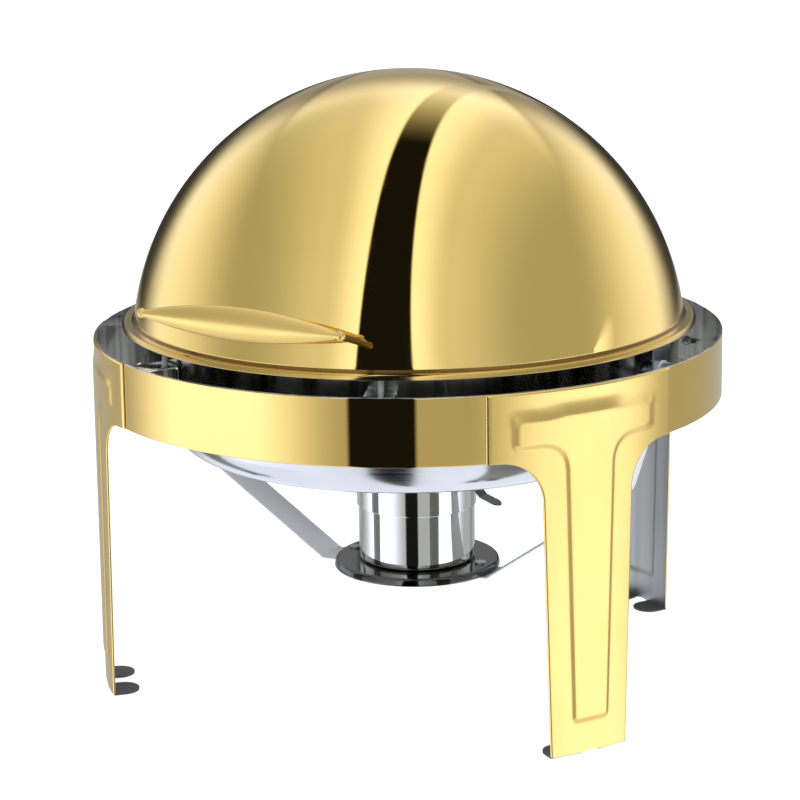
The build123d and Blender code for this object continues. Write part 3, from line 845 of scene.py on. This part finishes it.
def burner_strap():
    """The strap that runs down from the support ring, under the burner and up again."""
    lower = 75.75
    width, thickness = 30.0, 1.5
    half = [
        (67.6, lower, 4.0),
        (171.5, 148.5, 8.0),
        (195.2, 222.0, 6.0),
        (195.2, 236.0, 0.0),
    ]
    path = rounded_path([(-x, z, r) for x, z, r in reversed(half)] + half, 10)
    # The strap's near-white colour is painted reflection.
    strap = strip("strap", path, width, thickness, [PALE_PAINTED_REFLECTION], turn(STRAP_TURN))
    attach(strap, "frame")
    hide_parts("burner_strap")


def at_burner(piece):
    """Move a lathed mesh from the z axis to the burner's place on the strap."""
    shift = turn(STRAP_TURN) @ Vector((BURNER_SHIFT * MM, 0.0, 0.0))
    piece.data.transform(Matrix.Translation(shift))
    return piece


def burner_tray():
    """The flat tray with its rim rolled down on to the strap."""
    path = rounded_path([
        (0.0, 81.7, 0),
        (60.4, 81.7, 2.2),
        (61.5, 77.2, 0),
    ], 8)
    tray = at_burner(lathe("saucer", sheet_loop(path, 1.0), [STEEL_DARK], 192))
    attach(tray, "frame")
    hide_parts("burner_tray")


def burner_cup():
    """The round cup that holds the fuel."""
    path = rounded_path([
        (0.0, 82.85, 0),
        (42.95, 82.85, 2.4),
        (42.95, 143.3, 0),
    ], 8)
    cup = at_burner(lathe("fuel_cup", sheet_loop(path, 0.9), [STEEL], 160))
    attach(cup, "burner")
    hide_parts("burner_cup")


def burner_cover():
    """The cover of the fuel cup, with a pressed ridge round the flame opening."""
    path = rounded_path([
        (44.2, 124.4, 0),
        (44.2, 144.55, 1.8),
        (30.0, 144.55, 0.8),
        (29.0, 144.35, 0.8),
        (24.4, 144.35, 0),
    ], 8)
    cover = at_burner(lathe("fuel_cover", sheet_loop(path, 0.8), [STEEL], 160))
    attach(cover, "burner_cover")
    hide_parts("burner_cover")


def cad_finishes():
    """Materials of the small CAD pieces that show as they are."""
    finishes = {
        FASTENER: [
            "leg_studs", "leg_nuts", "pivot_spacers_right", "pivot_spacers_left",
            "pivot_pin_right", "pivot_pin_left", "strap_screws", "strap_nuts", "tray_rivets",
            "lid_ear_right", "lid_ear_left", "damper_rivet",
        ],
        STEEL_DARK: ["damper_plate"],
        NYLON: ["lid_bush_right", "lid_bush_left"],
        SILICONE: ["lid_stop_pads"],
    }
    for material, names in finishes.items():
        for name in names:
            for slot in nodes[name].material_slots:
                slot.material = material


# --------------------------------------------------------------------- studio

def direction(turn_angle, rise=0.0):
    """A unit vector towards a place round the dish, seen from its middle."""
    a, e = radians(turn_angle), radians(rise)
    return Vector((sin(a) * cos(e), -cos(a) * cos(e), sin(e)))


def studio_axes(tree, way):
    """How far a direction lies across the dark gap, ahead along it, up, and over from front to back."""
    across = dot(tree, way, direction(GAP_TURN + 90.0))
    ahead = dot(tree, way, direction(GAP_TURN))
    up = dot(tree, way, (0.0, 0.0, 1.0))
    over = calc(tree, "DIVIDE", calc(tree, "ARCTAN2", calc(tree, "MAXIMUM", up, 0.0), ahead), pi)
    return across, ahead, up, over


def side_strips(tree, way):
    """A bright strip and then a dark end, far to both sides; and how far the overhead panels reach."""
    side = dot(tree, way, direction(CAMERA_TURN + 90.0))
    toward = dot(tree, way, direction(CAMERA_TURN, CAMERA_RISE))
    swing = calc(tree, "SINE", calc(tree, "ARCTAN2", side, calc(tree, "ADD", toward, 1.0)))
    sideways = calc(tree, "ABSOLUTE", swing)
    strip_light = ramp(tree, sideways, [(0.6, ROOM), (0.88, STRIP), (0.97, 0.08)])
    return strip_light, span(tree, sideways, 0.65, 0.8, 1.0, 0.0)


def overhead_light(tree, way, across, over):
    """Two soft panels that dim away from a dark gap, which narrows and then lightens behind."""
    half_gap = calc(tree, "MULTIPLY_ADD", over, -GAP_HALF, GAP_HALF)
    beside = calc(tree, "SUBTRACT", calc(tree, "ABSOLUTE", across), half_gap)
    panels = ramp(tree, beside, [(0.0, PANEL), (0.25, 0.42), (0.7, ROOM)])
    panels = blend_values(tree, span(tree, over, 0.7, 0.9), panels, PANEL)
    strip_light, keep = side_strips(tree, way)
    light = calc(tree, "MAXIMUM", calc(tree, "MULTIPLY", panels, keep), strip_light)
    gap_light = span(tree, over, 0.55, 0.9, 0.0, PANEL)
    light = blend_values(tree, span(tree, beside, -0.01, 0.01), gap_light, light)
    backdrop = span(tree, dot(tree, way, direction(CAMERA_TURN + 180.0)), 0.75, 0.95, 1.0, 0.3)
    return calc(tree, "MULTIPLY", light, backdrop)


def panel_below(tree, angle, centre, half_width):
    """One soft panel at the side, by its middle and half width in degrees round the dish."""
    away = calc(tree, "ABSOLUTE", calc(tree, "SUBTRACT", angle, centre))
    return span(tree, away, 0.2 * half_width, half_width, 1.0, 0.0)


def low_light(tree, across, ahead, up):
    """Light from below the horizon: a panel on each side, the dark gap ahead, and the lit floor."""
    angle = calc(tree, "MULTIPLY", calc(tree, "ARCTAN2", across, ahead), 180.0 / pi)
    left = panel_below(tree, angle, -65.0, 55.0)
    right = panel_below(tree, angle, 75.0, 45.0)
    light = blend_values(tree, calc(tree, "MAXIMUM", left, right), ROOM, LOW_PANEL)
    light = blend_values(tree, span(tree, up, -0.6, -0.4, 1.0, 0.0), light, FLOOR_LIGHT)
    return calc(tree, "MULTIPLY", light, span(tree, calc(tree, "ABSOLUTE", angle), 11.0, 13.0))


def studio_world():
    """Plain soft light: a warm dim room, cooler panels at both sides, and a dark gap between them."""
    world = bpy.data.worlds.new("studio")
    bpy.context.scene.world = world
    world.use_nodes = True
    tree = world.node_tree
    background = tree.nodes["Background"]
    way = tree.nodes.new("ShaderNodeTexCoord").outputs["Generated"]
    across, ahead, up, over = studio_axes(tree, way)
    upper = overhead_light(tree, way, across, over)
    lower = low_light(tree, across, ahead, up)
    light = blend_values(tree, span(tree, up, -0.2, -0.1), lower, upper)
    light = calc(tree, "MAXIMUM", light, GAP_LIGHT)
    tint = mix_colours(tree, span(tree, light, 0.0, PANEL, smooth=False), WARM_ROOM, COOL_PANEL)
    # the backdrop itself is seen as plain white
    seen = tree.nodes.new("ShaderNodeLightPath").outputs["Is Camera Ray"]
    link(tree, mix_colours(tree, seen, tint, WHITE), background.inputs["Color"])
    strength = calc(tree, "MULTIPLY", light, EXPOSURE)
    link(tree, blend_values(tree, seen, strength, 1.0), background.inputs["Strength"])


def studio_floor():
    """A plain pale floor, just under the feet."""
    mesh = bpy.data.meshes.new("floor")
    size = 14.0
    corners = [(-size, -size, 0), (size, -size, 0), (size, size, 0), (-size, size, 0)]
    mesh.from_pydata(corners, [], [(0, 1, 2, 3)])
    floor = bpy.data.objects.new("floor", mesh)
    floor.location.z = -0.0003
    bpy.context.scene.collection.objects.link(floor)
    material, tree, shader = new_material("floor_paint")
    paint = mix_colours(tree, noise(tree, 2.0, 2.0), (0.20, 0.20, 0.19), (0.22, 0.22, 0.21))
    link(tree, paint, shader.inputs["Base Color"])
    shader.inputs["Roughness"].default_value = 0.9
    shader.inputs["Specular IOR Level"].default_value = 0.1
    shader.inputs["Emission Color"].default_value = (1.0, 1.0, 1.0, 1.0)
    shader.inputs["Emission Strength"].default_value = 0.92
    mesh.materials.append(material)
    floor.visible_glossy = False


def studio_lamp():
    """A very broad overhead light that whitens the floor and stays out of the reflections."""
    data = bpy.data.lights.new("top_light", "SUN")
    data.angle = radians(120.0)
    data.energy = 2.6
    lamp = bpy.data.objects.new("top_light", data)
    lamp.visible_glossy = False
    bpy.context.scene.collection.objects.link(lamp)


def camera():
    """The camera, aimed at the middle of the ring's top edge."""
    distance, roll_angle = 1.976, -0.722
    data = bpy.data.cameras.new("camera")
    data.sensor_width = 36.0
    data.lens = 120.45
    data.shift_x = -0.0112
    data.shift_y = -0.0937
    data.clip_start = 0.05
    data.clip_end = 200.0
    cam = bpy.data.objects.new("camera", data)
    centre = Vector((0.0, 0.0, RING_TOP * MM))
    back = direction(CAMERA_TURN, CAMERA_RISE)
    cam.location = centre + back * distance
    look = (-back).to_track_quat("-Z", "Y").to_matrix().to_4x4()
    roll = Matrix.Rotation(radians(roll_angle), 4, "Z")
    cam.matrix_world = Matrix.Translation(cam.location) @ look @ roll
    bpy.context.scene.collection.objects.link(cam)
    bpy.context.scene.camera = cam
    bpy.context.scene.view_settings.view_transform = "Standard"


camera()
lid_dome()
lid_rim()
lid_handle()
handle_posts()
frame_ring()
legs()
support_ring()
lugs()
water_pan()
food_pan()
burner_strap()
burner_tray()
burner_cup()
burner_cover()
cad_finishes()
studio_world()
studio_floor()
studio_lamp()
